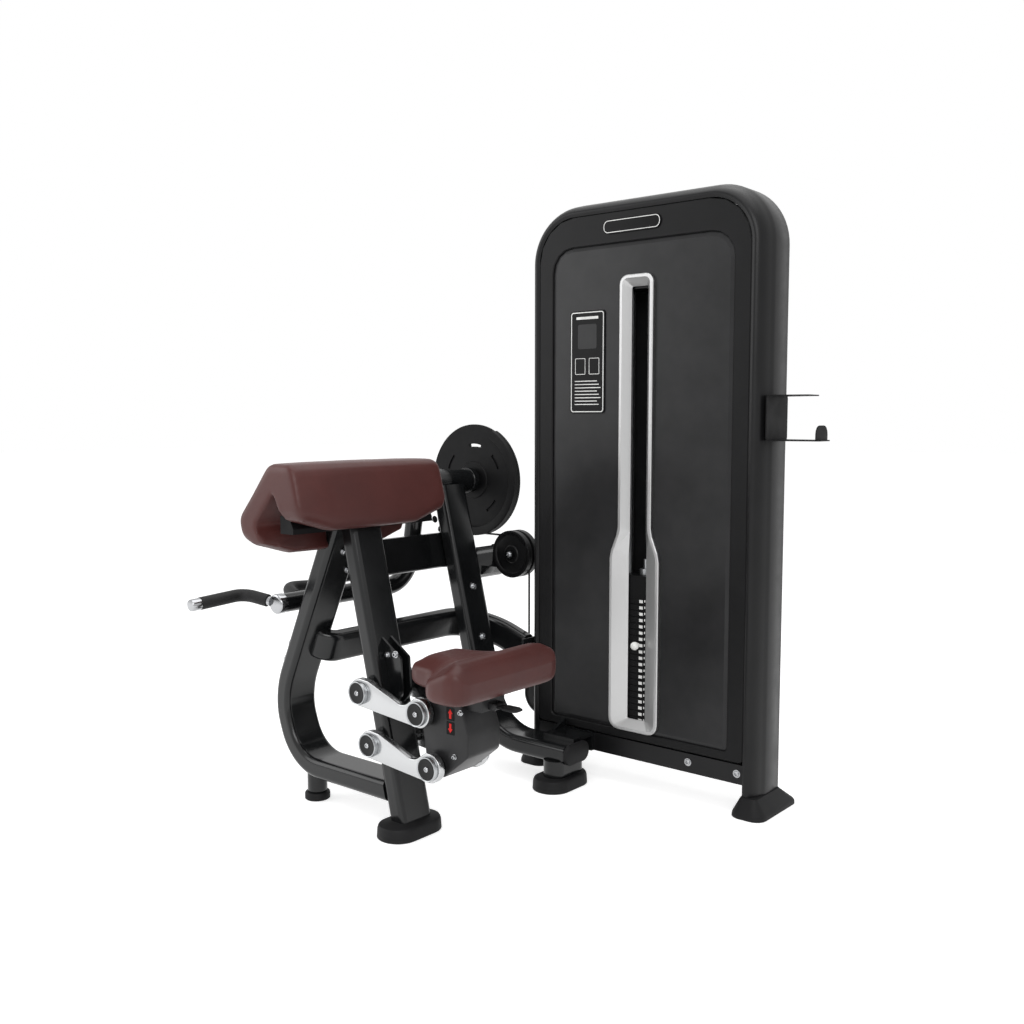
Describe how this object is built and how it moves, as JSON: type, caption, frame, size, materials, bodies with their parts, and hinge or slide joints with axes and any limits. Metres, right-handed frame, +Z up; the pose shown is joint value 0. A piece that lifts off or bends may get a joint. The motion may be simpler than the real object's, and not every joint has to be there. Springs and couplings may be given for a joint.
{
  "type": "biceps curl machine",
  "caption": "Seated biceps curl machine with a weight-stack tower, a brown arm pad and saddle seat, a swing arm with rubber grips and black tube frame.",
  "frame": {"origin": "on the floor, at the middle of the footprint seen from above", "axes": "+Z up; +Y from the seat towards the weight tower; the user faces -X; +X behind the user"},
  "size_m": [1.2838, 1.05, 1.584],
  "materials": {
    "frame": "gloss",
    "tower": "satin",
    "bezel": "matte",
    "panel": "satin",
    "silver": "satin",
    "polished": "polished",
    "chrome": "polished",
    "steel": "brushed",
    "plate": "satin",
    "rubber": "matte",
    "grip": "matte",
    "leather": "satin",
    "cable": "satin",
    "sign": "gloss",
    "pulley": "satin",
    "ball": "gloss"
  },
  "bodies": {
    "base": {"tower_frame": "tower", "tower_shoe_right": "rubber", "tower_shoe_left": "rubber", "bottom_bar": "tower", "front_bezel": "bezel", "front_panel": "panel", "window_frame": "silver", "rear_panel": "panel", "badge_plate": "sign", "placard": "sign", "holder_bracket": "frame", "top_bar": "tower", "guide_rod_left": "chrome", "guide_rod_right": "chrome", "stack_bumper": "rubber", "lower_plates": "plate", "front_post": "frame", "curved_leg": "frame", "upper_cross_tube": "frame", "lower_cross_tube": "frame", "pad_bracket": "frame", "arm_pad": "leather", "front_foot": "rubber", "round_foot": "rubber", "rear_post": "frame", "rear_foot": "rubber", "base_end_cap": "rubber", "base_bracket": "frame", "pivot_housing": "frame", "pulley_arm": "frame", "cable_run": "cable", "stack_cable": "cable", "seat_bracket": "frame", "link_pin_upper": "steel", "link_pin_lower": "steel"},
    "stack": {"head_plate": "plate", "selector_rod": "steel", "upper_plates": "plate"},
    "pin": {"selector_pin": "ball"},
    "arm": {"swing_arm": "frame", "cam_disc": "pulley", "pivot_shaft": "steel", "arm_end_cap": "chrome", "grip_bar_front": "chrome", "grip_bar_back": "chrome", "grip_front": "grip", "grip_back": "grip"},
    "small_wheel": {"small_pulley": "pulley"},
    "bottom_wheel": {"bottom_pulley": "pulley"},
    "corner_wheel": {"corner_pulley": "pulley"},
    "centre_wheel": {"centre_pulley": "pulley"},
    "upper_links": {"link_upper_front": "polished", "link_upper_back": "polished"},
    "lower_links": {"link_lower_front": "polished", "link_lower_back": "polished"},
    "seat": {"carriage": "frame", "seat_pad": "leather"},
    "lever": {"seat_lever": "frame"}
  },
  "joints": [
    {"name": "arm_swing", "type": "hinge", "parent": "base", "child": "arm", "pos_m": [-0.4729, 0.14297, 0.814], "axis": [0, 1, 0], "range_deg": [0, 130]},
    {"name": "stack_lift", "type": "slide", "parent": "base", "child": "stack", "axis": [0, 0, 1], "range_m": [0, 0.368], "deforming": ["stack_cable"]},
    {"name": "pin_pull", "type": "slide", "parent": "stack", "child": "pin", "axis": [0, -1, 0], "range_m": [0, 0.085]},
    {"name": "small_wheel_turn", "type": "hinge", "parent": "base", "child": "small_wheel", "pos_m": [-0.3109, 0.38797, 0.6], "axis": [0, 1, 0], "range_deg": [-410, 0]},
    {"name": "bottom_wheel_turn", "type": "hinge", "parent": "base", "child": "bottom_wheel", "pos_m": [-0.2089, 0.38797, 0.19], "axis": [0, 1, 0], "range_deg": [0, 425]},
    {"name": "corner_wheel_turn", "type": "hinge", "parent": "base", "child": "corner_wheel", "pos_m": [-0.1139, 0.38797, 1.455], "axis": [0, 1, 0], "range_deg": [-472, 0]},
    {"name": "centre_wheel_turn", "type": "hinge", "parent": "base", "child": "centre_wheel", "pos_m": [0.1041, 0.38797, 1.455], "axis": [0, 1, 0], "range_deg": [-472, 0]},
    {"name": "seat_lift", "type": "hinge", "parent": "base", "child": "upper_links", "pos_m": [-0.1919, -0.26203, 0.343], "axis": [0, 1, 0], "range_deg": [-38, 12]},
    {"name": "lower_link_turn", "type": "hinge", "parent": "base", "child": "lower_links", "pos_m": [-0.1579, -0.26203, 0.221], "axis": [0, 1, 0], "range_deg": [-38, 12]},
    {"name": "carriage_level", "type": "hinge", "parent": "upper_links", "child": "seat", "pos_m": [0.0051, -0.26203, 0.326], "axis": [0, 1, 0], "range_deg": [-12, 38]},
    {"name": "lever_squeeze", "type": "hinge", "parent": "seat", "child": "lever", "pos_m": [0.1751, -0.26203, 0.356], "axis": [0, -1, 0], "range_deg": [0, 15], "stiffness_Nm_per_rad": 1, "springref_deg": -17.19}
  ],
  "couplings": [
    {"joint": "stack_lift", "follows": "arm_swing", "m_per_rad": 0.162},
    {"joint": "small_wheel_turn", "follows": "arm_swing", "ratio": -3.1154},
    {"joint": "bottom_wheel_turn", "follows": "arm_swing", "ratio": 3.24},
    {"joint": "corner_wheel_turn", "follows": "arm_swing", "ratio": -3.6},
    {"joint": "centre_wheel_turn", "follows": "arm_swing", "ratio": -3.6},
    {"joint": "lower_link_turn", "follows": "seat_lift", "ratio": 1},
    {"joint": "carriage_level", "follows": "seat_lift", "ratio": -1}
  ]
}
